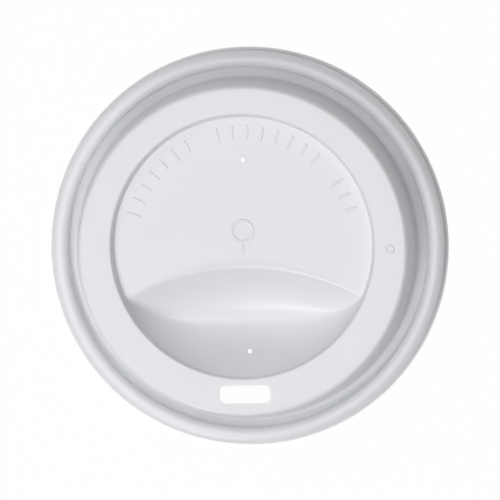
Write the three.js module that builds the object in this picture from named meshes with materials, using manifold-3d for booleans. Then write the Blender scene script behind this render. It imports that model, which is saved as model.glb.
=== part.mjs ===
// Takeaway coffee cup lid with a sip hole: one plastic sheet, vacuum formed, trimmed round its flange and pierced.
// Millimetres, +Z up, origin at the middle of the base. The sip hole is at the front, towards -Y.
// The sheet's outside is described first, and its inside lies one sheet thickness below it, measured square to it.

import * as THREE from "three";
import { ParametricGeometry } from "three/addons/geometries/ParametricGeometry.js";
import { mergeVertices } from "three/addons/utils/BufferGeometryUtils.js";
import Module from "manifold-3d";

const wasm = await Module();
wasm.setup();

// Sheet
const SHEET_THICKNESS = 0.45;

// Skirt, which snaps over the rolled rim of a cup
const CUP_RIM_DIAMETER = 90;
const RIM_CLEARANCE = 0.15; // between the cup's rim and the inside of the skirt
const SNAP_UNDERCUT = 0.4; // how far the inside bead reaches in under the rim
const SNAP_HEIGHT = 3.0; // of the bead's middle
const SNAP_BEND = 1.2; // height over which the wall comes in to the bead
const SKIRT_FILLET = 0.8;
const LEAD_IN_FLARE = 0.75; // how far the mouth opens out below the bead
const FLANGE_WIDTH = 0.7;
const FLANGE_FILLET = 0.3;

// Crown, the rounded ring that sits on the rim
const CROWN_HEIGHT = 8.0;
const CROWN_WIDTH = 3.95;
const CROWN_OUTER_FILLET = 1.85;
const CROWN_INNER_FILLET = 1.75;

// Crease and ledge between the crown and the dome
const CREASE_DEPTH = 3.8;
const CREASE_LEAN = 0.25; // the crease lies this far outside the crown's inner edge
const CREASE_FILLET = 0.3;
const LEDGE_WIDTH = 2.3;
const LEDGE_RISE = 1.1;

// Dome
const LID_HEIGHT = 18.3;
const DOME_LEAN = 2.1; // how far the wall leans in from its foot to its top
const DOME_FOOT_FILLET = 1.2;
const DOME_TOP_FILLET = 0.85;

// Sunk disc in the top, set back from the sip hole
const BAND_WIDTH = 7.4; // of the flat band round the disc, at the lid's sides
const RECESS_SETBACK = 1.07;
const DISC_DEPTH = 2.3;
const RECESS_WALL_RUN = 0.8; // how far the recess narrows down to the disc
const RECESS_TOP_BLEND = 1.9;
const RECESS_FOOT_BLEND = 0.3;

// Scoop for the lip, which falls from a curved edge across the disc and rises to the band at the front
const SCOOP_EDGE_RADIUS = 55;
const SCOOP_EDGE_PLACE = 3.7; // in front of the lid's middle
const SCOOP_EDGE_BLEND = 0.6;
const SCOOP_BACK_SLOPE = 0.95;
const SCOOP_BACK_EASE = 0.0239; // per millimetre, how the back slope flattens
const SCOOP_FRONT_SLOPE = 0.8;
const SCOOP_FRONT_EASE = 0.0085;
const SCOOP_FRONT_STEP = 1.3; // height of the steep wall at the very front
const SCOOP_VALLEY_BLEND = 4;
const SCOOP_VALLEY_REACH = 24; // half width over which the valley is rounded
const SCOOP_VALLEY_START = 6; // distance from the edge at which it is fully rounded

// Holes
const SIP_LENGTH = 11.8;
const SIP_WIDTH = 4.25;
const SIP_INSET = 4.8; // from the dome's top edge to the middle of the hole
const VENT_DIAMETER = 0.9;
const DISC_VENT_PLACE = 20.8; // behind the lid's middle
const SCOOP_VENT_PLACE = 23.5; // in front of the lid's middle

// Faceting
const ROUND_STEPS = 48;
const FILLET_STEP = Math.PI / 7; // most that one facet turns in a fillet
const FLOOR_STEPS = 8;
const SCOOP_HUB_PLACE = 16; // in front of the lid's middle, where the recess's facets meet
const VENT_STEPS = 10;
const SIP_END_STEPS = 8;
const SLOPE_STEP = 0.01; // distance over which a slope is measured
const WELD_DISTANCE = 1e-4;

// Radii and heights that follow from the sizes above, on the outside of the sheet
const crownOuterRadius = CUP_RIM_DIAMETER / 2 + RIM_CLEARANCE + SHEET_THICKNESS;
const snapRadius = CUP_RIM_DIAMETER / 2 - SNAP_UNDERCUT + SHEET_THICKNESS;
const flangeRootRadius = snapRadius + LEAD_IN_FLARE;
const flangeRadius = flangeRootRadius + FLANGE_WIDTH;
const crownInnerRadius = crownOuterRadius - CROWN_WIDTH;
const creaseRadius = crownInnerRadius + CREASE_LEAN;
const creaseHeight = CROWN_HEIGHT - CREASE_DEPTH;
const domeFootRadius = creaseRadius - LEDGE_WIDTH;
const domeFootHeight = creaseHeight + LEDGE_RISE;
const domeTopRadius = domeFootRadius - DOME_LEAN;
const recessRadius = domeTopRadius - BAND_WIDTH;
const discRadius = recessRadius - RECESS_WALL_RUN;
const discHeight = LID_HEIGHT - DISC_DEPTH;
const recessWallSlope = DISC_DEPTH / RECESS_WALL_RUN;
const scoopCentreY = -SCOOP_EDGE_PLACE - SCOOP_EDGE_RADIUS;

const plastic = new THREE.MeshStandardMaterial({
  color: 0xebecee,
  roughness: 0.42,
  metalness: 0,
});

// Stations along a line of straight runs and rounded corners, each with the direction square to it on its left.
// A fillet is limited to what its two runs have room for.
function roundedLine(corners) {
  const stations = [];
  const end = (corner, neighbour, sign) => {
    const run = new THREE.Vector2().subVectors(neighbour, corner).normalize();
    return { point: corner, normal: new THREE.Vector2(-run.y, run.x).multiplyScalar(sign) };
  };
  stations.push(end(corners[0].at, corners[1].at, 1));
  for (let i = 1; i < corners.length - 1; i++) {
    const { at, fillet } = corners[i];
    const before = new THREE.Vector2().subVectors(at, corners[i - 1].at);
    const after = new THREE.Vector2().subVectors(corners[i + 1].at, at);
    const start = before.angle();
    const turn = THREE.MathUtils.euclideanModulo(after.angle() - start + Math.PI, 2 * Math.PI) - Math.PI;
    const halfTangent = Math.tan(Math.abs(turn) / 2);
    const room = Math.min(before.length(), after.length()) / 2;
    const radius = Math.min(fillet, room / halfTangent);
    const side = Math.sign(turn);
    const inward = new THREE.Vector2(-Math.sin(start), Math.cos(start)).multiplyScalar(side * radius);
    const centre = at.clone().addScaledVector(before.normalize(), -radius * halfTangent).add(inward);
    const steps = Math.ceil(Math.abs(turn) / FILLET_STEP);
    for (let step = 0; step <= steps; step++) {
      const heading = start + (turn * step) / steps;
      const normal = new THREE.Vector2(-Math.sin(heading), Math.cos(heading));
      stations.push({ point: centre.clone().addScaledVector(normal, -side * radius), normal });
    }
  }
  const last = corners.length - 1;
  stations.push(end(corners[last].at, corners[last - 1].at, -1));
  return stations;
}

const corner = (radius, height, fillet = 0) => ({ at: new THREE.Vector2(radius, height), fillet });

// The lid's section from the flat band outwards, in radius and height: dome, ledge, crease, crown, skirt and flange.
const rimSection = roundedLine([
  corner(recessRadius + BAND_WIDTH / 2, LID_HEIGHT),
  corner(domeTopRadius, LID_HEIGHT, DOME_TOP_FILLET),
  corner(domeFootRadius, domeFootHeight, DOME_FOOT_FILLET),
  corner(creaseRadius, creaseHeight, CREASE_FILLET),
  corner(crownInnerRadius, CROWN_HEIGHT, CROWN_INNER_FILLET),
  corner(crownOuterRadius, CROWN_HEIGHT, CROWN_OUTER_FILLET),
  corner(crownOuterRadius, SNAP_HEIGHT + SNAP_BEND, SKIRT_FILLET),
  corner(snapRadius, SNAP_HEIGHT, SKIRT_FILLET),
  corner(flangeRootRadius, SHEET_THICKNESS, FLANGE_FILLET),
  corner(flangeRadius, SHEET_THICKNESS),
]).slice(1);

// The lower and the higher of two heights, with the corner between them rounded while they differ by less than blend.
function lower(a, b, blend) {
  const near = Math.max(blend - Math.abs(a - b), 0);
  return Math.min(a, b) - (near * near) / (4 * blend);
}

const higher = (a, b, blend) => -lower(-a, -b, blend);

// How far a slope has fallen at a distance from its start, as it flattens, and no further than its lowest point.
function fall(distance, slope, ease) {
  const reach = Math.min(distance, slope / (2 * ease));
  return slope * reach - ease * reach * reach;
}

// Height of the outside of the sheet at a place in the recess: the disc, the scoop and the wall up to the band.
function recessHeight(x, y) {
  const radius = Math.hypot(x, y - RECESS_SETBACK);
  const fromFront = Math.abs(Math.atan2(x, RECESS_SETBACK - y));
  const step = THREE.MathUtils.lerp(
    SCOOP_FRONT_STEP,
    DISC_DEPTH,
    THREE.MathUtils.smoothstep(fromFront, 0, scoopHalfAngle),
  );
  const wallFootRadius = recessRadius - step / recessWallSlope;
  const wall = LID_HEIGHT - (recessRadius - radius) * recessWallSlope;
  const front = LID_HEIGHT - step - fall(wallFootRadius - radius, SCOOP_FRONT_SLOPE, SCOOP_FRONT_EASE);
  const bowl = higher(wall, front, RECESS_FOOT_BLEND);

  const fromEdge = SCOOP_EDGE_RADIUS - Math.hypot(x, y - scoopCentreY);
  const back = discHeight - fall(fromEdge, SCOOP_BACK_SLOPE, SCOOP_BACK_EASE);
  const disc = lower(discHeight, back, SCOOP_EDGE_BLEND);

  const across = Math.max(1 - (x / SCOOP_VALLEY_REACH) ** 2, 0) ** 2;
  const along = THREE.MathUtils.smoothstep(fromEdge, 0, SCOOP_VALLEY_START);
  const valleyBlend = RECESS_FOOT_BLEND + SCOOP_VALLEY_BLEND * across * along;
  return lower(LID_HEIGHT, higher(disc, bowl, valleyBlend), RECESS_TOP_BLEND);
}

// Angle, seen from the recess's middle, between the front and the corner where the scoop's edge meets the wall.
const scoopCentreDistance = RECESS_SETBACK - scoopCentreY;
const scoopHalfAngle = Math.acos(
  (discRadius ** 2 + scoopCentreDistance ** 2 - SCOOP_EDGE_RADIUS ** 2) / (2 * discRadius * scoopCentreDistance),
);

// Share of the way from the scoop's hub to the foot of the wall at which the scoop's edge is met. It stays short of
// the foot where the edge runs into the wall, and in front, where there is no edge.
function scoopEdgeShare(hub, way) {
  const out = hub.y - scoopCentreY;
  const across = way.y * out;
  const met = (Math.sqrt(across ** 2 - way.lengthSq() * (out ** 2 - SCOOP_EDGE_RADIUS ** 2)) - across) / way.lengthSq();
  return Math.min(met, 1 - DISC_DEPTH / way.length());
}

// Stations from the scoop's hub to the flat band along a heading, each with the direction square to the sheet.
function recessStations(heading) {
  const along = new THREE.Vector2(Math.cos(heading), Math.sin(heading));
  const middle = new THREE.Vector2(0, RECESS_SETBACK);
  const hub = new THREE.Vector2(0, -SCOOP_HUB_PLACE);
  const topRound = RECESS_TOP_BLEND / recessWallSlope;
  const footRound = RECESS_FOOT_BLEND / recessWallSlope;
  const foot = middle.clone().addScaledVector(along, discRadius - footRound);
  const way = foot.clone().sub(hub);
  const edgeShare = scoopEdgeShare(hub, way);
  const edgeRound = SCOOP_EDGE_BLEND / SCOOP_BACK_SLOPE / way.length();
  const shares = [];
  for (let step = 0; step <= FLOOR_STEPS; step++) shares.push(((edgeShare - edgeRound) * step) / FLOOR_STEPS);
  shares.push(edgeShare, edgeShare + edgeRound, (edgeShare + edgeRound + 1) / 2, 1);
  const radii = [discRadius + footRound];
  for (let step = -1; step <= 2; step++) radii.push(recessRadius + (topRound * step) / 2);
  const places = shares.map((share) => hub.clone().addScaledVector(way, share));
  places.push(...radii.map((radius) => middle.clone().addScaledVector(along, radius)));
  return places.map(({ x, y }) => {
    const slopeX = (recessHeight(x + SLOPE_STEP, y) - recessHeight(x - SLOPE_STEP, y)) / (2 * SLOPE_STEP);
    const slopeY = (recessHeight(x, y + SLOPE_STEP) - recessHeight(x, y - SLOPE_STEP)) / (2 * SLOPE_STEP);
    return {
      point: new THREE.Vector3(x, y, recessHeight(x, y)),
      normal: new THREE.Vector3(-slopeX, -slopeY, 1).normalize(),
    };
  });
}

// Stations from the lid's middle to the trimmed edge of its flange along a heading.
function sheetStations(heading) {
  const rim = rimSection.map(({ point, normal }) => ({
    point: new THREE.Vector3(point.x * Math.cos(heading), point.x * Math.sin(heading), point.y),
    normal: new THREE.Vector3(normal.x * Math.cos(heading), normal.x * Math.sin(heading), normal.y),
  }));
  return [...recessStations(heading), ...rim];
}

// The formed sheet as one closed surface: out along its underside, round the trimmed edge and back over the top.
function formedSheet() {
  const sections = [];
  for (let step = 0; step < ROUND_STEPS; step++) sections.push(sheetStations((2 * Math.PI * step) / ROUND_STEPS));
  const rows = 2 * sections[0].length - 1;
  const place = (u, v, target) => {
    const section = sections[Math.round(u * ROUND_STEPS) % ROUND_STEPS];
    const row = Math.round(v * rows);
    const underneath = row < section.length;
    const station = section[underneath ? row : rows - row];
    target.copy(station.point).addScaledVector(station.normal, underneath ? -SHEET_THICKNESS : 0);
  };
  return new ParametricGeometry(place, ROUND_STEPS, rows);
}

// A closed geometry as a solid that can be cut, without the empty triangles at its poles.
function solidOf(geometry) {
  const bare = geometry.clone();
  bare.deleteAttribute("normal");
  bare.deleteAttribute("uv");
  const welded = mergeVertices(bare, WELD_DISTANCE);
  const triangles = [];
  for (let i = 0; i < welded.index.count; i += 3) {
    const [a, b, c] = [0, 1, 2].map((k) => welded.index.getX(i + k));
    if (a !== b && b !== c && c !== a) triangles.push(a, b, c);
  }
  return new wasm.Manifold(
    new wasm.Mesh({
      numProp: 3,
      vertProperties: welded.attributes.position.array,
      triVerts: new Uint32Array(triangles),
    }),
  );
}

function geometryOf(solid) {
  const { vertProperties, triVerts } = solid.getMesh();
  const geometry = new THREE.BufferGeometry();
  geometry.setAttribute("position", new THREE.BufferAttribute(vertProperties, 3));
  geometry.setIndex(new THREE.BufferAttribute(triVerts, 1));
  const faceted = geometry.toNonIndexed();
  faceted.computeVertexNormals();
  return faceted;
}

// Punch for the sip hole: a slot with round ends, taller than the sheet on both sides.
function sipPunch() {
  const endRadius = SIP_WIDTH / 2;
  const reach = Math.max(SIP_LENGTH - SIP_WIDTH, 0) / 2;
  const slot = new THREE.Shape();
  slot.absarc(reach, 0, endRadius, -Math.PI / 2, Math.PI / 2);
  slot.absarc(-reach, 0, endRadius, Math.PI / 2, (3 * Math.PI) / 2);
  const punch = new THREE.ExtrudeGeometry(slot, {
    depth: 3 * SHEET_THICKNESS,
    bevelEnabled: false,
    curveSegments: SIP_END_STEPS,
  });
  return punch.translate(0, SIP_INSET - domeTopRadius, LID_HEIGHT - 2 * SHEET_THICKNESS);
}

// Punch for a vent: an upright pin through the sheet, which may slope there.
function ventPunch(y) {
  const radius = VENT_DIAMETER / 2;
  const height = 4 * SHEET_THICKNESS + VENT_DIAMETER;
  const pin = new THREE.CylinderGeometry(radius, radius, height, VENT_STEPS);
  return pin.rotateX(Math.PI / 2).translate(0, y, recessHeight(0, y) - SHEET_THICKNESS / 2);
}

const punches = [sipPunch(), ventPunch(DISC_VENT_PLACE), ventPunch(-SCOOP_VENT_PLACE)];
const piercedSheet = punches.reduce((sheet, punch) => sheet.subtract(solidOf(punch)), solidOf(formedSheet()));

const lid = new THREE.Mesh(geometryOf(piercedSheet), plastic);
lid.name = "lid";

const coffeeCupLid = new THREE.Group();
coffeeCupLid.add(lid);

export default coffeeCupLid;
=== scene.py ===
"""Takeaway coffee cup lid in white plastic: the formed sheet, its raised marks and a plain studio.

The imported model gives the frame, with its origin at the middle of the lid's base, +Z up and the sip hole
at the front, towards -Y. Everything is in metres. The formed sheet takes the place of the frame's plain
solid, with the same section and a finer scoop, and the raised marks sit on its top.
"""

from __future__ import annotations

import logging
import math
from dataclasses import dataclass, field
from enum import Enum
from typing import Callable, Sequence

import bpy
from mathutils import Matrix, Vector


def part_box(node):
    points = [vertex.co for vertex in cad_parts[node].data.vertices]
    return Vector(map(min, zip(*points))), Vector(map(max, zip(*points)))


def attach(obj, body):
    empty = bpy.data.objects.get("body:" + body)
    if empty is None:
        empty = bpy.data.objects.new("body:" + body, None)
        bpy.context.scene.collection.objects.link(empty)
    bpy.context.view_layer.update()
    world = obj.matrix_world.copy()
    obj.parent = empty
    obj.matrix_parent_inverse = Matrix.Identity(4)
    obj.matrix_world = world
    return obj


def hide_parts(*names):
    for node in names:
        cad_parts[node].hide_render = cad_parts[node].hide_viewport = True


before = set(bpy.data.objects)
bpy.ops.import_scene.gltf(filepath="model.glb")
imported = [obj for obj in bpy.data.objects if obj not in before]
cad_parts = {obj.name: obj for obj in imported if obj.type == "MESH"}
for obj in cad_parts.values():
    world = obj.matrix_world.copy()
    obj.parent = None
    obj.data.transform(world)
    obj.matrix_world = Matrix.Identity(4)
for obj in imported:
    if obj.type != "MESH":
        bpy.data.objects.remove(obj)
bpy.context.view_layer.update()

LOG = logging.getLogger("cup_lid")
MM = 0.001
UP = Vector((0.0, 0.0, 1.0))


def smoothstep(value: float, start: float, end: float) -> float:
    """Eases from 0 at start to 1 at end."""
    share = min(max((value - start) / (end - start), 0.0), 1.0)
    return share * share * (3.0 - 2.0 * share)


def mix(start: float, end: float, share: float) -> float:
    """Gives the value a share of the way from start to end."""
    return start + (end - start) * share


def lower(a: float, b: float, blend: float) -> float:
    """Gives the lower of two heights, with the corner between them rounded.

    Args:
        a: One height.
        b: The other height.
        blend: The difference between them below which the corner is rounded.

    Returns:
        The rounded lower height.
    """
    near = max(blend - abs(a - b), 0.0)
    return min(a, b) - near * near / (4.0 * blend)


def higher(a: float, b: float, blend: float) -> float:
    """Gives the higher of two heights, with the corner between them rounded as in lower."""
    return -lower(-a, -b, blend)


def clear_selection() -> None:
    """Leaves nothing selected, so that an operator acts on new work alone."""
    if bpy.context.object and bpy.context.object.mode != "OBJECT":
        bpy.ops.object.mode_set(mode="OBJECT")
    bpy.ops.object.select_all(action="DESELECT")


def take(*objects: bpy.types.Object) -> bpy.types.Object:
    """Selects the objects alone and makes the first one active.

    Args:
        objects: What the next operators work on.

    Returns:
        The active object.
    """
    clear_selection()
    for obj in objects:
        obj.select_set(True)
    bpy.context.view_layer.objects.active = objects[0]
    return objects[0]


def select_parts(
    obj: bpy.types.Object, kind: str, chosen: Callable[[Vector], bool], whole: bool = True
) -> int:
    """Selects the vertices, edges or faces of a mesh by their place, and leaves it in edit mode.

    Args:
        obj: The mesh object.
        kind: VERT, EDGE or FACE.
        chosen: Says whether a place is wanted.
        whole: Whether every vertex of an edge or face has to be wanted, or only its middle.

    Returns:
        How many parts are selected.
    """
    take(obj)
    bpy.ops.object.mode_set(mode="EDIT")
    bpy.ops.mesh.select_mode(type=kind)
    bpy.ops.mesh.select_all(action="DESELECT")
    bpy.ops.object.mode_set(mode="OBJECT")
    mesh = obj.data
    wanted = [chosen(vertex.co) for vertex in mesh.vertices]
    parts = {"VERT": mesh.vertices, "EDGE": mesh.edges, "FACE": mesh.polygons}[kind]
    count = 0
    for part in parts:
        if kind == "VERT":
            part.select = wanted[part.index]
        elif whole:
            part.select = all(wanted[index] for index in part.vertices)
        else:
            middle = sum((mesh.vertices[index].co for index in part.vertices), Vector()) / len(part.vertices)
            part.select = chosen(middle)
        count += part.select
    bpy.ops.object.mode_set(mode="EDIT")
    return count


def face_up(obj: bpy.types.Object) -> None:
    """Turns an open surface's faces round if its highest flat one points down."""
    flattest = max(obj.data.polygons, key=lambda face: (round(face.center.z / MM, 2), abs(face.normal.z)))
    if flattest.normal.z < 0.0:
        obj.data.flip_normals()


def apply_modifier(obj: bpy.types.Object, kind: str, **settings: object) -> None:
    """Adds a modifier to an object, sets it and applies it.

    Args:
        obj: The object, which keeps its place.
        kind: The modifier's type, such as SOLIDIFY.
        settings: The modifier's own settings.
    """
    take(obj)
    modifier = obj.modifiers.new(kind.title(), kind)
    for name, value in settings.items():
        setattr(modifier, name, value)
    bpy.ops.object.modifier_apply(modifier=modifier.name)


@dataclass(frozen=True)
class Ring:
    """One corner of the lid's turned section, with the length that its fillet takes from each side."""

    radius: float
    height: float
    cut: float = 0.0
    facets: int = 8


@dataclass
class FormedSheet:
    """The lid itself: one sheet, formed, trimmed and pierced. Sizes are on the sheet's outside."""

    flange_radius: float
    height: float
    thickness: float = 0.45 * MM
    flange_width: float = 0.7 * MM
    lead_in_flare: float = 0.75 * MM
    snap_height: float = 3.0 * MM
    snap_bend: float = 1.2 * MM
    snap_reach: float = 0.55 * MM
    crown_height: float = 8.0 * MM
    crown_width: float = 3.95 * MM
    crease_depth: float = 3.8 * MM
    crease_lean: float = 0.25 * MM
    ledge_width: float = 2.3 * MM
    ledge_rise: float = 1.1 * MM
    dome_lean: float = 2.1 * MM
    band_width: float = 7.4 * MM
    dome_top_fillet: float = 0.72 * MM
    dome_foot_fillet: float = 0.62 * MM
    crease_fillet: float = 0.44 * MM
    crown_inner_fillet: float = 1.87 * MM
    crown_outer_fillet: float = 1.85 * MM
    snap_fillet: float = 0.3 * MM
    flange_fillet: float = 0.25 * MM
    recess_setback: float = 1.07 * MM
    disc_depth: float = 2.3 * MM
    recess_wall_run: float = 0.55 * MM
    recess_top_blend: float = 1.4 * MM
    recess_foot_blend: float = 0.3 * MM
    edge_radius: float = 55.0 * MM
    edge_place: float = 3.7 * MM
    edge_blend: float = 0.5 * MM
    back_slope: float = 0.82
    back_ease: float = 0.0237 / MM
    front_slope: float = 0.75
    front_step: float = 0.8 * MM
    side_slope: float = 2.3
    side_eased_slope: float = 0.35
    side_ease: float = 2.1 * MM
    valley_blend: float = 4.0 * MM
    valley_reach: float = 24.0 * MM
    valley_start: float = 6.0 * MM
    hub_place: float = 16.0 * MM
    sip_length: float = 11.8 * MM
    sip_width: float = 4.25 * MM
    sip_corner: float = 1.6 * MM
    sip_inset: float = 4.8 * MM
    vent_diameter: float = 1.05 * MM
    punch_depth: float = 2.7 * MM
    pin_depth: float = 3.6 * MM
    vent_places: tuple[tuple[float, float], ...] = ((0.4 * MM, 20.8 * MM), (0.85 * MM, -23.3 * MM))
    crater_radius: float = 1.3 * MM
    crater_lip: float = 0.1 * MM
    crater_dish: float = 0.04 * MM
    crater_reach: float = 2.99 * MM
    crater_cuts: int = 5
    round_steps: int = 256
    floor_steps: int = 40
    disc_steps: int = 16
    wall_steps: int = 16
    smooth_angle: float = 32.0

    def __post_init__(self) -> None:
        """Works out the radii and heights that follow from the sizes."""
        self.flange_root_radius = self.flange_radius - self.flange_width
        self.snap_radius = self.flange_root_radius - self.lead_in_flare
        self.crown_outer_radius = self.snap_radius + self.snap_reach
        self.crown_inner_radius = self.crown_outer_radius - self.crown_width
        self.crease_radius = self.crown_inner_radius + self.crease_lean
        self.crease_height = self.crown_height - self.crease_depth
        self.dome_foot_radius = self.crease_radius - self.ledge_width
        self.dome_foot_height = self.crease_height + self.ledge_rise
        self.dome_top_radius = self.dome_foot_radius - self.dome_lean
        self.recess_radius = self.dome_top_radius - self.band_width
        self.band_ring_radius = (self.recess_radius + self.band_width / 2.0 + self.dome_top_radius) / 2.0
        self.disc_radius = self.recess_radius - self.recess_wall_run
        self.disc_height = self.height - self.disc_depth
        self.wall_slope = self.disc_depth / self.recess_wall_run
        self.top_round = self.recess_top_blend / self.wall_slope
        self.edge_centre_y = -self.edge_place - self.edge_radius
        reach = self.recess_setback - self.edge_centre_y
        turn = (self.disc_radius**2 + reach**2 - self.edge_radius**2) / (2.0 * self.disc_radius * reach)
        self.scoop_half_angle = math.acos(turn)

    @property
    def middle(self) -> Vector:
        """The middle of the sunk disc, seen from above."""
        return Vector((0.0, self.recess_setback, 0.0))

    @property
    def hub(self) -> Vector:
        """The deep of the scoop, from which its surface is laid out."""
        return Vector((0.0, -self.hub_place, 0.0))

    def section(self) -> list[Ring]:
        """Gives the turned section's corners from the flat band out to the trimmed edge."""
        return [
            Ring(self.dome_top_radius, self.height, self.dome_top_fillet, facets=8),
            Ring(self.dome_foot_radius, self.dome_foot_height, self.dome_foot_fillet, facets=8),
            Ring(self.crease_radius, self.crease_height, self.crease_fillet, facets=6),
            Ring(self.crown_inner_radius, self.crown_height, self.crown_inner_fillet, facets=12),
            Ring(self.crown_outer_radius, self.crown_height, self.crown_outer_fillet, facets=12),
            Ring(self.crown_outer_radius, self.snap_height + self.snap_bend, self.snap_fillet, facets=5),
            Ring(self.snap_radius, self.snap_height, self.snap_fillet, facets=5),
            Ring(self.flange_root_radius, self.thickness, self.flange_fillet, facets=5),
            Ring(self.flange_radius, self.thickness),
        ]

    def fall(self, distance: float, slope: float, ease: float) -> float:
        """Says how far a slope has fallen at a distance from its start, as it flattens out."""
        reach = min(distance, slope / (2.0 * ease))
        return slope * reach - ease * reach * reach

    def sink(self, distance: float, slope: float, eased_slope: float) -> float:
        """Says how far the scoop's front and ends have sunk, on a slope that eases to another."""
        eased = self.side_ease * (1.0 - math.exp(-distance / self.side_ease))
        return eased_slope * distance + (slope - eased_slope) * eased

    def from_edge(self, x: float, y: float) -> float:
        """Gives the distance of a place inside the scoop's curved edge."""
        return self.edge_radius - math.hypot(x, y - self.edge_centre_y)

    def crater(self, x: float, y: float) -> float:
        """Gives the small rise and dish that a vent's punch leaves round it."""
        rise = 0.0
        for place in self.vent_places:
            share = math.hypot(x - place[0], y - place[1]) / self.crater_radius
            if share < 1.0:
                lip = math.sin(math.pi * share) ** 2
                rise += self.crater_lip * lip - self.crater_dish * (1.0 - smoothstep(share, 0.0, 0.5))
        return rise

    def recess_height(self, x: float, y: float) -> float:
        """Gives the height of the sheet in the recess: the disc, the scoop and the wall up to the band.

        Args:
            x: The place across the lid.
            y: The place along it, with the sip hole at the negative end.

        Returns:
            The height of the sheet's outside there.
        """
        radius = math.hypot(x, y - self.recess_setback)
        from_front = abs(math.atan2(x, self.recess_setback - y))
        towards_end = smoothstep(from_front, 0.0, self.scoop_half_angle)
        step = mix(self.front_step, self.disc_depth, towards_end)
        slope = mix(self.front_slope, self.side_slope, towards_end)
        eased_slope = mix(self.front_slope, self.side_eased_slope, towards_end)
        wall = self.height - (self.recess_radius - radius) * self.wall_slope
        run = self.recess_radius - step / self.wall_slope - radius
        front = self.height - step - self.sink(run, slope, eased_slope)
        bowl = higher(wall, front, self.recess_foot_blend)
        inside = self.from_edge(x, y)
        back = self.disc_height - self.fall(inside, self.back_slope, self.back_ease)
        disc = lower(self.disc_height, back, self.edge_blend)
        across = max(1.0 - (x / self.valley_reach) ** 2, 0.0) ** 2
        along = smoothstep(inside, 0.0, self.valley_start)
        blend = self.recess_foot_blend + self.valley_blend * across * along
        return lower(self.height, higher(disc, bowl, blend), self.recess_top_blend) + self.crater(x, y)

    def edge_share(self, foot: Vector) -> float:
        """Says how far along the way from the hub to the wall's foot the scoop's edge is met."""
        way = foot - self.hub
        out = self.hub - Vector((0.0, self.edge_centre_y, 0.0))
        a = way.length_squared
        b = out.dot(way)
        c = out.length_squared - self.edge_radius**2
        met = (-b + math.sqrt(b * b - a * c)) / a
        return min(met, 1.0 - self.disc_depth / way.length)

    def floor_place(self, column: int, share: float) -> Vector:
        """Gives the place of a point of the recess.

        Args:
            column: Which of the ways from the hub to the wall the point is on.
            share: How far along the stations from the hub to the flat band it is.

        Returns:
            The point on the sheet's outside.
        """
        angle = math.tau * column / self.round_steps
        heading = Vector((math.cos(angle), math.sin(angle), 0.0))
        foot_round = self.recess_foot_blend / self.wall_slope
        foot = self.middle + heading * (self.disc_radius - foot_round)
        station = round(share * (self.floor_steps + self.disc_steps + self.wall_steps))
        met = self.edge_share(foot)
        if station <= self.floor_steps:
            place = self.hub.lerp(foot, met * station / self.floor_steps)
        elif station <= self.floor_steps + self.disc_steps:
            along = (station - self.floor_steps) / self.disc_steps
            place = self.hub.lerp(foot, mix(met, 1.0, along))
        else:
            along = (station - self.floor_steps - self.disc_steps) / self.wall_steps
            start = self.disc_radius - foot_round
            place = self.middle + heading * mix(start, self.recess_radius + self.top_round, along)
        return Vector((place.x, place.y, self.recess_height(place.x, place.y)))

    def turn_rim(self) -> bpy.types.Object:
        """Extrudes a circle ring by ring from the flat band to the trimmed edge, and rounds each ring.

        Returns:
            The dome's wall, the crown, the skirt and the flange as one open surface.
        """
        clear_selection()
        radius, height = self.band_ring_radius, self.height
        bpy.ops.mesh.primitive_circle_add(
            vertices=self.round_steps, radius=radius, location=(0.0, 0.0, height)
        )
        rim = bpy.context.object
        bpy.ops.object.transform_apply()
        bpy.ops.object.mode_set(mode="EDIT")
        bpy.ops.mesh.select_all(action="SELECT")
        for ring in self.section():
            rise = (0.0, 0.0, ring.height - height)
            bpy.ops.mesh.extrude_region_move(TRANSFORM_OT_translate={"value": rise})
            grown = ring.radius / radius
            bpy.ops.transform.resize(value=(grown, grown, 1.0), center_override=(0.0, 0.0, 0.0))
            radius, height = ring.radius, ring.height
        for ring in self.section():
            if ring.cut:
                self.round_ring(rim, ring)
        bpy.ops.mesh.select_all(action="SELECT")
        bpy.ops.mesh.normals_make_consistent(inside=False)
        bpy.ops.object.mode_set(mode="OBJECT")
        face_up(rim)
        return rim

    def round_ring(self, rim: bpy.types.Object, ring: Ring) -> None:
        """Bevels one ring of edges into its fillet."""
        close = 0.02 * MM

        def on_ring(at: Vector) -> bool:
            """Says whether a point is on the ring's corner."""
            return abs(at.z - ring.height) < close and abs(at.to_2d().length - ring.radius) < close

        count = select_parts(rim, "EDGE", on_ring)
        bpy.ops.mesh.bevel(
            offset_type="OFFSET", offset=ring.cut, segments=ring.facets, profile=0.5, affect="EDGES"
        )
        LOG.debug("rounded %d edges at radius %.2f mm", count, ring.radius / MM)

    def press_recess(self) -> bpy.types.Object:
        """Lays out a grid over the recess, welds its seam and its hub, and presses it to the recess's form.

        Returns:
            The disc, the scoop and the wall up to the flat band as one open surface.
        """
        clear_selection()
        rows = self.floor_steps + self.disc_steps + self.wall_steps
        bpy.ops.mesh.primitive_grid_add(x_subdivisions=self.round_steps, y_subdivisions=rows, size=1.0)
        recess = bpy.context.object
        for vertex in recess.data.vertices:
            column = round((vertex.co.x + 0.5) * self.round_steps)
            vertex.co = self.floor_place(column, vertex.co.y + 0.5)
        bpy.ops.object.mode_set(mode="EDIT")
        bpy.ops.mesh.select_all(action="SELECT")
        bpy.ops.mesh.remove_doubles(threshold=0.001 * MM)
        bpy.ops.object.mode_set(mode="OBJECT")
        face_up(recess)
        return recess

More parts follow.
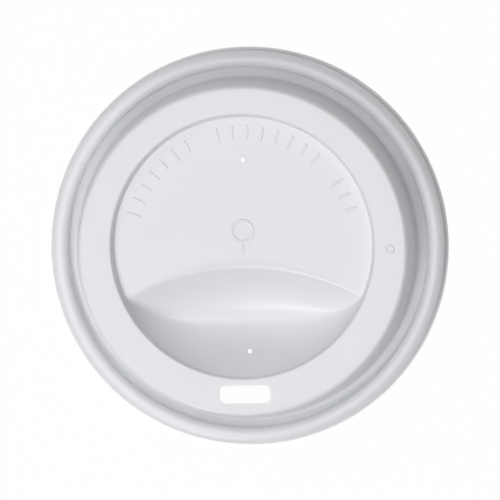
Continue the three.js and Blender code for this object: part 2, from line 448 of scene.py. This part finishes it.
    def press_craters(self, sheet: bpy.types.Object) -> None:
        """Divides the sheet finely round each vent and presses the vent's crater into it."""
        for place in self.vent_places:
            near = Vector(place)
            select_parts(
                sheet, "FACE", lambda at: (at.to_2d() - near).length < self.crater_reach, whole=False
            )
            bpy.ops.mesh.subdivide(number_cuts=self.crater_cuts)
            bpy.ops.object.mode_set(mode="OBJECT")
        for vertex in sheet.data.vertices:
            if (vertex.co - self.middle).to_2d().length < self.disc_radius:
                vertex.co.z = self.recess_height(vertex.co.x, vertex.co.y)

    def sip_punch(self) -> bpy.types.Object:
        """Draws a cylinder out both ways into a bar with round corners, which passes through the sheet.

        Returns:
            The punch, a closed solid.
        """
        clear_selection()
        bpy.ops.mesh.primitive_cylinder_add(
            vertices=64, radius=self.sip_corner, depth=self.punch_depth, location=(0.0, 0.0, self.height)
        )
        punch = bpy.context.object
        bpy.ops.object.transform_apply()
        tiny = 0.001 * MM
        for axis, size in enumerate((self.sip_length, self.sip_width)):
            for side in (-1.0, 1.0):
                draw = Vector((0.0, 0.0, 0.0))
                draw[axis] = side * (size / 2.0 - self.sip_corner)
                select_parts(punch, "VERT", lambda at: at[axis] * side > tiny)
                bpy.ops.transform.translate(value=draw)
        bpy.ops.mesh.select_all(action="SELECT")
        bpy.ops.transform.translate(value=(0.0, self.sip_inset - self.dome_top_radius, 0.0))
        bpy.ops.object.mode_set(mode="OBJECT")
        return punch

    def vent_punch(self, place: tuple[float, float]) -> bpy.types.Object:
        """Adds the pin that pierces a vent at a place."""
        clear_selection()
        at = (*place, self.recess_height(*place))
        bpy.ops.mesh.primitive_cylinder_add(
            vertices=32, radius=self.vent_diameter / 2.0, depth=self.pin_depth, location=at
        )
        punch = bpy.context.object
        bpy.ops.object.transform_apply()
        return punch

    def build(self) -> bpy.types.Object:
        """Joins the rim and the recess, gives the sheet its thickness and pierces it.

        Returns:
            The lid as one closed mesh.
        """
        sheet = take(self.turn_rim(), self.press_recess())
        bpy.ops.object.join()
        sheet.name = "formed_sheet"
        sheet.data.name = "formed_sheet"
        tiny = 0.01 * MM
        inner = self.recess_radius + self.top_round

        def on_open_ring(at: Vector) -> bool:
            """Says whether a point is on one of the two rings with the open band between them."""
            from_inner = (at - self.middle).to_2d().length - inner
            from_outer = at.to_2d().length - self.band_ring_radius
            return at.z > self.height - tiny and min(abs(from_inner), abs(from_outer)) < tiny

        select_parts(sheet, "EDGE", on_open_ring)
        bpy.ops.mesh.bridge_edge_loops()
        bpy.ops.object.mode_set(mode="OBJECT")
        self.press_craters(sheet)
        apply_modifier(
            sheet,
            "SOLIDIFY",
            thickness=self.thickness,
            offset=-1.0,
            use_even_offset=True,
            use_quality_normals=True,
        )
        punches = take(self.sip_punch(), *(self.vent_punch(place) for place in self.vent_places))
        bpy.ops.object.join()
        apply_modifier(sheet, "BOOLEAN", operation="DIFFERENCE", solver="MANIFOLD", object=punches)
        bpy.data.objects.remove(punches)
        take(sheet)
        bpy.ops.object.shade_smooth_by_angle(angle=math.radians(self.smooth_angle))
        return sheet


class Mark(Enum):
    """The plain raised marks that are pressed into the lid's top."""

    BAR = "bar"
    HOOP = "hoop"


@dataclass
class RaisedMarks:
    """Plain raised marks on the disc and the band: bars round an arc, a hoop with a stem, and a pip."""

    sheet: FormedSheet
    rise: float = 0.15 * MM
    stroke: float = 0.7 * MM
    run_radius: float = 26.0 * MM
    run_height: float = 3.3 * MM
    run_start: float = 18.0
    run_end: float = 163.0
    run_groups: tuple[int, ...] = (7, 8, 3)
    group_gap: float = 2.2
    hoop_place: Vector = field(default_factory=lambda: Vector((0.0, 4.6 * MM, 0.0)))
    hoop_radius: float = 2.4 * MM
    stem_drop: float = 1.9 * MM
    stem_length: float = 2.2 * MM
    pip_place: Vector = field(default_factory=lambda: Vector((33.6 * MM, 0.0, 0.0)))
    pip_diameter: float = 1.6 * MM

    def add(self, kind: Mark, place: Vector, length: float, turn: float) -> bpy.types.Object:
        """Models one mark with a rounded top, its foot just below the sheet's surface.

        Args:
            kind: Which mark it is.
            place: The middle of the mark on the sheet's surface.
            length: The bar's length, or the hoop's diameter.
            turn: The bar's turn about +Z, in radians.

        Returns:
            The mark as an object at the origin.
        """
        clear_selection()
        half = self.stroke / 2.0
        if kind is Mark.HOOP:
            bpy.ops.mesh.primitive_torus_add(
                major_radius=length / 2.0,
                minor_radius=half,
                major_segments=48,
                minor_segments=12,
                location=place,
            )
        else:
            bpy.ops.mesh.primitive_uv_sphere_add(segments=20, ring_count=10, radius=half, location=place)
        mark = bpy.context.object
        bpy.ops.object.transform_apply()
        if kind is Mark.BAR:
            draw = length / 2.0 - half
            tiny = 0.001 * MM
            for side in (-1.0, 1.0):
                select_parts(mark, "VERT", lambda at: (at.x - place.x) * side > tiny)
                bpy.ops.transform.translate(value=(side * draw, 0.0, 0.0))
        bpy.ops.object.mode_set(mode="OBJECT")
        flatten = Matrix.Diagonal((1.0, 1.0, self.rise / half, 1.0))
        shape = Matrix.Translation(place) @ Matrix.Rotation(turn, 4, "Z") @ flatten
        mark.data.transform(shape @ Matrix.Translation(-place))
        return mark

    def run_angles(self) -> list[float]:
        """Gives the angles of the bars round the disc, in groups with gaps between them."""
        count = sum(self.run_groups)
        gaps = (len(self.run_groups) - 1) * (self.group_gap - 1.0)
        pitch = math.radians(self.run_end - self.run_start) / (count - 1 + gaps)
        angles = []
        angle = math.radians(self.run_end)
        for group in self.run_groups:
            for _ in range(group):
                angles.append(angle)
                angle -= pitch
            angle -= pitch * (self.group_gap - 1.0)
        return angles

    def build(self) -> list[bpy.types.Object]:
        """Makes the run of bars, the hoop with its stem, and the pip.

        Returns:
            The finished pieces.
        """
        top = UP * self.sheet.disc_height
        bars = []
        for angle in self.run_angles():
            heading = Vector((math.cos(angle), math.sin(angle), 0.0))
            place = self.sheet.middle + heading * self.run_radius + top
            bars.append(self.add(Mark.BAR, place, self.run_height, angle))
        hoop_place = self.hoop_place + top
        hoop = self.add(Mark.HOOP, hoop_place, 2.0 * self.hoop_radius, 0.0)
        below = hoop_place - Vector((0.0, self.hoop_radius + self.stem_drop, 0.0))
        stem = self.add(Mark.BAR, below, self.stem_length, math.radians(90.0))
        band = UP * self.sheet.height
        pip = self.add(Mark.HOOP, self.pip_place + band, self.pip_diameter, 0.0)
        return [
            self.join("disc_bars", bars),
            self.join("disc_hoop", [hoop, stem]),
            self.join("band_hoop", [pip]),
        ]

    def join(self, name: str, marks: Sequence[bpy.types.Object]) -> bpy.types.Object:
        """Joins marks into one smooth piece with a name."""
        piece = take(*marks)
        if len(marks) > 1:
            bpy.ops.object.join()
        bpy.ops.object.shade_smooth()
        piece.name = name
        piece.data.name = name
        return piece


class Wire:
    """One socket of a material, which takes part in sums as a number does."""

    def __init__(self, graph: Graph, socket: bpy.types.NodeSocket | None) -> None:
        """Keeps the socket and the graph that it belongs to."""
        self.graph = graph
        self.socket = socket

    def _join(self, operation: str, first: object, second: object) -> Wire:
        """Adds one Math node to the graph and gives its result."""
        return self.graph.add("ShaderNodeMath", {"operation": operation}, {0: first, 1: second})

    def __add__(self, other: object) -> Wire:
        """Adds."""
        return self._join("ADD", self, other)

    __radd__ = __add__

    def __sub__(self, other: object) -> Wire:
        """Takes away."""
        return self._join("SUBTRACT", self, other)

    def __mul__(self, other: object) -> Wire:
        """Multiplies."""
        return self._join("MULTIPLY", self, other)


class Graph:
    """The nodes of one material."""

    def __init__(self, name: str) -> None:
        """Starts a material with nothing in it but its output."""
        self.material = bpy.data.materials.new(name)
        self.material.use_nodes = True
        self.tree = self.material.node_tree
        self.tree.nodes.clear()

    def add(
        self,
        kind: str,
        settings: dict[str, object] | None = None,
        inputs: dict[str | int, object] | None = None,
        output: str | int = 0,
    ) -> Wire:
        """Adds a node with its settings, then its values and links.

        Args:
            kind: The node's type.
            settings: What is set on the node itself.
            inputs: A value or a wire for each named or numbered socket.
            output: The socket that is given back.

        Returns:
            The wanted output as a wire.
        """
        node = self.tree.nodes.new(kind)
        for name, value in (settings or {}).items():
            setattr(node, name, value)
        for name, value in (inputs or {}).items():
            if isinstance(value, Wire):
                self.tree.links.new(value.socket, node.inputs[name])
            else:
                node.inputs[name].default_value = value
        outputs = node.outputs
        return Wire(self, outputs[output]) if len(outputs) else Wire(self, None)

    def finish(self, surface: Wire) -> bpy.types.Material:
        """Links the surface to the material's output."""
        self.add("ShaderNodeOutputMaterial", None, {"Surface": surface})
        return self.material


@dataclass(frozen=True)
class SatinPlastic:
    """White polystyrene sheet with the satin skin that forming leaves on it."""

    name: str = "white_plastic"
    tint: tuple[float, float, float] = (0.80, 0.808, 0.832)
    shade: tuple[float, float, float] = (0.772, 0.778, 0.802)
    roughness: float = 0.31
    roughness_swing: float = 0.1
    peel_size: float = 0.9 * MM
    peel_depth: float = 0.006 * MM
    cloud_size: float = 14.0 * MM

    def build(self) -> bpy.types.Material:
        """Makes the material.

        Returns:
            The white plastic, in object coordinates.
        """
        graph = Graph(self.name)
        place = graph.add("ShaderNodeTexCoord", output="Object")
        cloud = graph.add(
            "ShaderNodeTexNoise", None, {"Vector": place, "Scale": 1.0 / self.cloud_size, "Detail": 3.0}
        )
        peel = graph.add(
            "ShaderNodeTexNoise", None, {"Vector": place, "Scale": 1.0 / self.peel_size, "Detail": 4.0}
        )
        colour = graph.add(
            "ShaderNodeMix",
            {"data_type": "RGBA"},
            {"Factor": cloud, "A": (*self.shade, 1.0), "B": (*self.tint, 1.0)},
            "Result",
        )
        rough = self.roughness + (peel - 0.5) * self.roughness_swing
        bump = graph.add(
            "ShaderNodeBump", None, {"Height": peel, "Distance": self.peel_depth, "Strength": 1.0}
        )
        return graph.finish(
            graph.add(
                "ShaderNodeBsdfPrincipled",
                None,
                {"Base Color": colour, "Roughness": rough, "Normal": bump, "IOR": 1.5},
            )
        )


@dataclass(frozen=True)
class Lamp:
    """One soft rectangular lamp, aimed at the lid."""

    name: str
    azimuth: float
    elevation: float
    distance: float
    size: float
    power: float

    def build(self, target: Vector) -> None:
        """Hangs the lamp and turns it to the target."""
        azimuth, elevation = math.radians(self.azimuth), math.radians(self.elevation)
        level = math.cos(elevation)
        away = Vector((level * math.cos(azimuth), level * math.sin(azimuth), math.sin(elevation)))
        light = bpy.data.lights.new(self.name, "AREA")
        light.shape = "SQUARE"
        light.size = self.size
        light.energy = self.power
        obj = bpy.data.objects.new(self.name, light)
        obj.location = target + away * self.distance
        obj.rotation_euler = away.to_track_quat("Z", "Y").to_euler()
        bpy.context.scene.collection.objects.link(obj)


@dataclass
class Studio:
    """A plain pale floor, soft light and the camera almost straight above the lid."""

    floor_size: float = 4.0
    floor_drop: float = 0.02 * MM
    floor_tone: float = 0.8
    floor_glow: float = 0.98
    world_strength: float = 0.24
    camera_distance: float = 0.7
    camera_tilt: float = 6.55
    camera_azimuth: float = 36.9
    camera_roll: float = 1.2
    view_width: float = 116.75 * MM
    target: Vector = field(default_factory=lambda: Vector((0.18 * MM, -0.89 * MM, 0.0)))
    lamps: tuple[Lamp, ...] = (
        Lamp("top", 0.0, 88.0, 0.9, 0.5, 2.3),
        Lamp("key", 250.0, 46.0, 0.9, 0.3, 2.15),
        Lamp("side", 195.0, 64.0, 0.9, 0.35, 1.1),
        Lamp("fill", 130.0, 40.0, 0.9, 0.5, 1.0),
    )

    def build(self) -> None:
        """Sets the camera, the floor, the lamps and the world."""
        self.set_camera()
        self.lay_floor()
        for lamp in self.lamps:
            lamp.build(self.target)
        self.set_world()
        bpy.context.scene.view_settings.view_transform = "Standard"

    def set_camera(self) -> None:
        """Puts the camera at the photograph's angle, with the lid's small turn in the picture."""
        angles = (self.camera_tilt, self.camera_azimuth, self.camera_roll)
        tilt, azimuth, roll = (math.radians(angle) for angle in angles)
        lean = math.sin(tilt)
        away = Vector((lean * math.cos(azimuth), lean * math.sin(azimuth), math.cos(tilt)))
        upward = Vector((math.sin(roll), math.cos(roll), 0.0))
        right = upward.cross(away).normalized()
        camera = bpy.data.cameras.new("camera")
        camera.sensor_width = 36.0
        camera.lens = camera.sensor_width * self.camera_distance / self.view_width
        obj = bpy.data.objects.new("camera", camera)
        axes = Matrix((right, away.cross(right), away)).transposed()
        obj.matrix_world = Matrix.Translation(self.target + away * self.camera_distance) @ axes.to_4x4()
        bpy.context.scene.collection.objects.link(obj)
        bpy.context.scene.camera = obj

    def lay_floor(self) -> None:
        """Lays a floor that the camera sees as white and that still takes the lid's soft shadow."""
        clear_selection()
        bpy.ops.mesh.primitive_plane_add(size=self.floor_size, location=(0.0, 0.0, -self.floor_drop))
        floor = bpy.context.object
        bpy.ops.object.transform_apply()
        floor.name = "floor"
        graph = Graph("floor_white")
        paths = "ShaderNodeLightPath"
        seen = graph.add(paths, output="Is Camera Ray") + graph.add(paths, output="Is Glossy Ray")
        tone = self.floor_tone
        diffuse = graph.add("ShaderNodeBsdfDiffuse", None, {"Color": (tone, tone, tone, 1.0)})
        glow = graph.add("ShaderNodeEmission", None, {"Color": (1.0, 1.0, 1.0, 1.0), "Strength": 1.0})
        surface = graph.add("ShaderNodeMixShader", None, {0: seen * self.floor_glow, 1: diffuse, 2: glow})
        floor.data.materials.append(graph.finish(surface))

    def set_world(self) -> None:
        """Lights the scene evenly from all round, with a white background for the camera."""
        world = bpy.data.worlds.new("studio")
        world.use_nodes = True
        tree = world.node_tree
        background = tree.nodes["Background"]
        background.inputs["Color"].default_value = (1.0, 1.0, 1.0, 1.0)
        seen = tree.nodes.new("ShaderNodeLightPath").outputs["Is Camera Ray"]
        strength = tree.nodes.new("ShaderNodeMapRange")
        strength.inputs["To Min"].default_value = self.world_strength
        tree.links.new(seen, strength.inputs["Value"])
        tree.links.new(strength.outputs["Result"], background.inputs["Strength"])
        bpy.context.scene.world = world


def main() -> None:
    """Builds the studio, the lid and its marks, and dresses them."""
    logging.basicConfig(level=logging.INFO)
    Studio().build()
    _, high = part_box("lid")
    sheet = FormedSheet(flange_radius=high[0], height=high[2])
    plastic = SatinPlastic().build()
    lid = sheet.build()
    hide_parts("lid")
    for piece in (lid, *RaisedMarks(sheet).build()):
        piece.data.materials.clear()
        piece.data.materials.append(plastic)
        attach(piece, "root")
        LOG.info("%s: %d faces", piece.name, len(piece.data.polygons))


if __name__ == "__main__":
    main()
